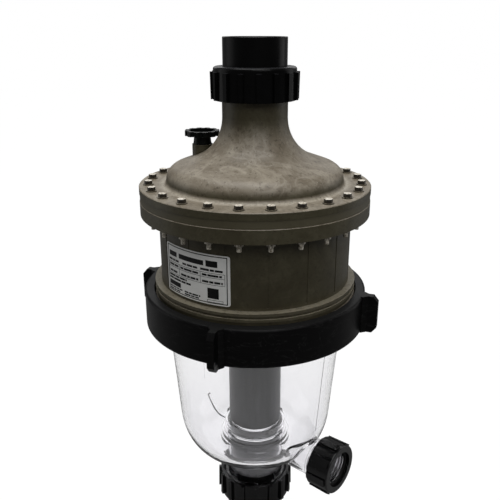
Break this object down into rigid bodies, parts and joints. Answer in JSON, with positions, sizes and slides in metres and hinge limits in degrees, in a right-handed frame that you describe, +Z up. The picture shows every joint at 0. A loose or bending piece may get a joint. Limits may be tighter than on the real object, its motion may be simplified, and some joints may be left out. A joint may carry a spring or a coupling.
{
  "type": "centrifugal filter",
  "caption": "Upright inline centrifugal filter for a water pipe: black housing with domed lid, union ends and air bleed, over a clear sediment bowl with side drain and lugged lock ring.",
  "frame": {"origin": "centre of the inlet's open end, on the pipe axis at the lowest point", "axes": "+Z up the pipe axis from inlet to outlet, -Y towards the viewer of the picture, +X to the right"},
  "size_m": [0.294, 0.294, 0.632],
  "materials": {
    "housing_black": "satin",
    "ring_black": "matte",
    "nut_black": "satin",
    "tail_black": "satin",
    "bowl_clear": "clear polished",
    "riser_grey": "matte",
    "plate_black": "matte",
    "cyclone_black": "matte",
    "knob_black": "satin",
    "seal_rubber": "matte",
    "fastener_steel": "satin",
    "label_face": "brushed silver foil"
  },
  "bodies": {
    "inlet_end": {"inlet_tailpiece": "tail_black"},
    "inlet_nut": {"inlet_union_nut": "nut_black"},
    "bowl_group": {"bowl": "bowl_clear", "riser_pipe": "riser_grey", "riser_foot_seal": "seal_rubber", "bowl_seal": "seal_rubber", "inlet_seal": "seal_rubber"},
    "drain_washer": {"drain_seal": "seal_rubber"},
    "drain_nut": {"drain_union_nut": "nut_black"},
    "ring": {"lock_ring": "ring_black"},
    "housing_group": {"housing": "housing_black", "lid": "housing_black", "vortex_plate": "plate_black", "cyclone_plate": "plate_black", "cyclone_01": "cyclone_black", "cyclone_02": "cyclone_black", "cyclone_03": "cyclone_black", "cyclone_04": "cyclone_black", "cyclone_05": "cyclone_black", "cyclone_06": "cyclone_black", "cyclone_07": "cyclone_black", "cyclone_08": "cyclone_black", "cyclone_09": "cyclone_black", "cyclone_10": "cyclone_black", "cyclone_11": "cyclone_black", "cyclone_12": "cyclone_black", "cyclone_13": "cyclone_black", "cyclone_14": "cyclone_black", "cyclone_15": "cyclone_black", "cyclone_16": "cyclone_black", "flange_seal": "seal_rubber", "lid_seal": "seal_rubber", "cyclone_plate_seal": "seal_rubber", "riser_top_seal": "seal_rubber", "outlet_seal": "seal_rubber", "flange_bolts": "fastener_steel", "upper_washers": "fastener_steel", "lower_washers": "fastener_steel", "flange_nuts": "fastener_steel", "rating_label": "label_face"},
    "outlet_end": {"outlet_tailpiece": "tail_black"},
    "outlet_nut": {"outlet_union_nut": "nut_black"},
    "bleed_ring": {"bleed_seal": "seal_rubber"},
    "bleed_screw": {"bleed_knob": "knob_black"}
  },
  "joints": [
    {"name": "bowl_lift", "type": "slide", "parent": "inlet_end", "child": "bowl_group", "axis": [0, 0, 1], "range_m": [0, 0.024]},
    {"name": "inlet_nut_turn", "type": "hinge", "parent": "inlet_end", "child": "inlet_nut", "pos_m": [0, 0, 0.0436], "axis": [0, 0, 1], "range_deg": [-2161, 0]},
    {"name": "drain_washer_slide", "type": "slide", "parent": "bowl_group", "child": "drain_washer", "axis": [0.7694, -0.6388, 0], "range_m": [0, 0.024]},
    {"name": "drain_nut_turn", "type": "hinge", "parent": "drain_washer", "child": "drain_nut", "pos_m": [0.10279, -0.08534, 0.128], "axis": [0.7694, -0.6388, 0], "range_deg": [0, 2161]},
    {"name": "housing_lift", "type": "slide", "parent": "bowl_group", "child": "housing_group", "axis": [0, 0, 1], "range_m": [0, 0.032]},
    {"name": "lock_ring_turn", "type": "hinge", "parent": "bowl_group", "child": "ring", "pos_m": [0, 0, 0.297], "axis": [0, 0, 1], "range_deg": [-1441, 0]},
    {"name": "outlet_end_lift", "type": "slide", "parent": "housing_group", "child": "outlet_end", "axis": [0, 0, 1], "range_m": [0, 0.024]},
    {"name": "outlet_nut_turn", "type": "hinge", "parent": "outlet_end", "child": "outlet_nut", "pos_m": [0, 0, 0.58843], "axis": [0, 0, 1], "range_deg": [0, 2161]},
    {"name": "bleed_ring_lift", "type": "slide", "parent": "housing_group", "child": "bleed_ring", "axis": [0, 0, 1], "range_m": [0, 0.0045]},
    {"name": "bleed_screw_turn", "type": "hinge", "parent": "bleed_ring", "child": "bleed_screw", "pos_m": [-0.06249, 0.02274, 0.511], "axis": [0, 0, 1], "range_deg": [0, 1081]}
  ],
  "couplings": [
    {"joint": "inlet_nut_turn", "follows": "bowl_lift", "rad_per_m": -1570.8},
    {"joint": "drain_nut_turn", "follows": "drain_washer_slide", "rad_per_m": 1570.8},
    {"joint": "lock_ring_turn", "follows": "housing_lift", "rad_per_m": -785.4},
    {"joint": "outlet_nut_turn", "follows": "outlet_end_lift", "rad_per_m": 1570.8},
    {"joint": "bleed_screw_turn", "follows": "bleed_ring_lift", "rad_per_m": 4188.8}
  ]
}
